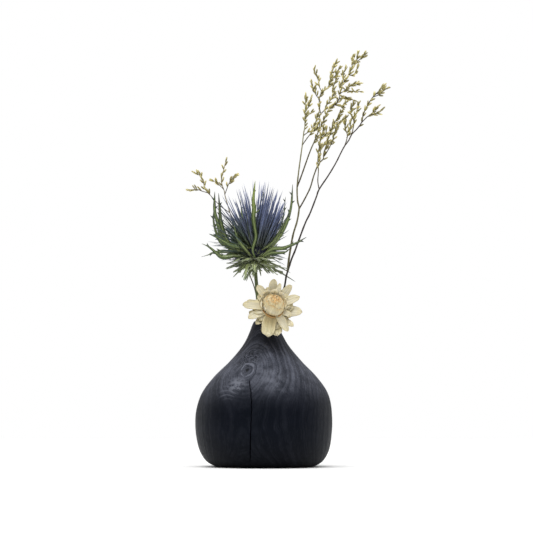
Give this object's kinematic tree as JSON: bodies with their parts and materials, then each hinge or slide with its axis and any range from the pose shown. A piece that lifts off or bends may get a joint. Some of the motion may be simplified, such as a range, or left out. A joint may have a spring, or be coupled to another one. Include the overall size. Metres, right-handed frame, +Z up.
{
  "type": "bud vase with dried flowers",
  "caption": "Squat turned-wood bud vase with a narrow neck, holding a sea holly head, a strawflower and statice sprays that lift out.",
  "frame": {"origin": "centre of the vase's flat base, on the surface it stands on", "axes": "+Z up along the vase's axis, -Y towards the front, where the strawflower faces, +X to the viewer's right"},
  "size_m": [0.1599, 0.1071, 0.3277],
  "materials": {
    "stained_wood": "satin",
    "holly_stem": "matte",
    "holly_head": "matte",
    "holly_needle": "satin",
    "holly_leaf": "satin",
    "holly_collar": "satin",
    "straw_stem": "matte",
    "straw_back": "matte",
    "petal": "satin",
    "straw_centre": "satin",
    "dark_stem": "matte",
    "pale_stem": "matte",
    "sprig_stem": "matte",
    "bud": "matte"
  },
  "bodies": {
    "vase": {"vase_body": "stained_wood"},
    "sea_holly": {"holly_stem": "holly_stem", "holly_head": "holly_head", "holly_needles": "holly_needle", "holly_bracts_left": "holly_leaf", "holly_bracts_right": "holly_leaf", "holly_collar_upper": "holly_leaf", "holly_collar_lower": "holly_collar"},
    "strawflower": {"straw_stem": "straw_stem", "straw_receptacle": "straw_back", "straw_outer_petals": "petal", "straw_second_petals": "petal", "straw_inner_cup": "petal", "straw_centre": "straw_centre"},
    "tall_spray": {"spray_stem": "dark_stem", "spray_pale_limb": "pale_stem", "spray_side_limbs": "pale_stem", "spray_branches": "pale_stem", "spray_twigs": "pale_stem", "spray_tips": "pale_stem", "spray_buds_limbs": "bud", "spray_buds_branches": "bud", "spray_buds_twigs": "bud", "spray_buds_tips": "bud"},
    "short_sprig": {"sprig_stem": "sprig_stem", "sprig_branches": "sprig_stem", "sprig_buds": "bud"}
  },
  "joints": [
    {"name": "sea_holly_lift", "type": "slide", "parent": "vase", "child": "sea_holly", "axis": [-0.0639, 0.0712, 0.9954], "range_m": [0, 0.06]},
    {"name": "strawflower_lift", "type": "slide", "parent": "vase", "child": "strawflower", "axis": [0.0128, -0.0696, 0.9975], "range_m": [0, 0.034]},
    {"name": "tall_spray_lift", "type": "slide", "parent": "vase", "child": "tall_spray", "axis": [0.1417, -0.0163, 0.9898], "range_m": [0, 0.06]},
    {"name": "short_sprig_lift", "type": "slide", "parent": "vase", "child": "short_sprig", "axis": [-0.0639, 0.0712, 0.9954], "range_m": [0, 0.06]}
  ],
  "couplings": [
    {"joint": "short_sprig_lift", "follows": "sea_holly_lift", "ratio": 1}
  ]
}
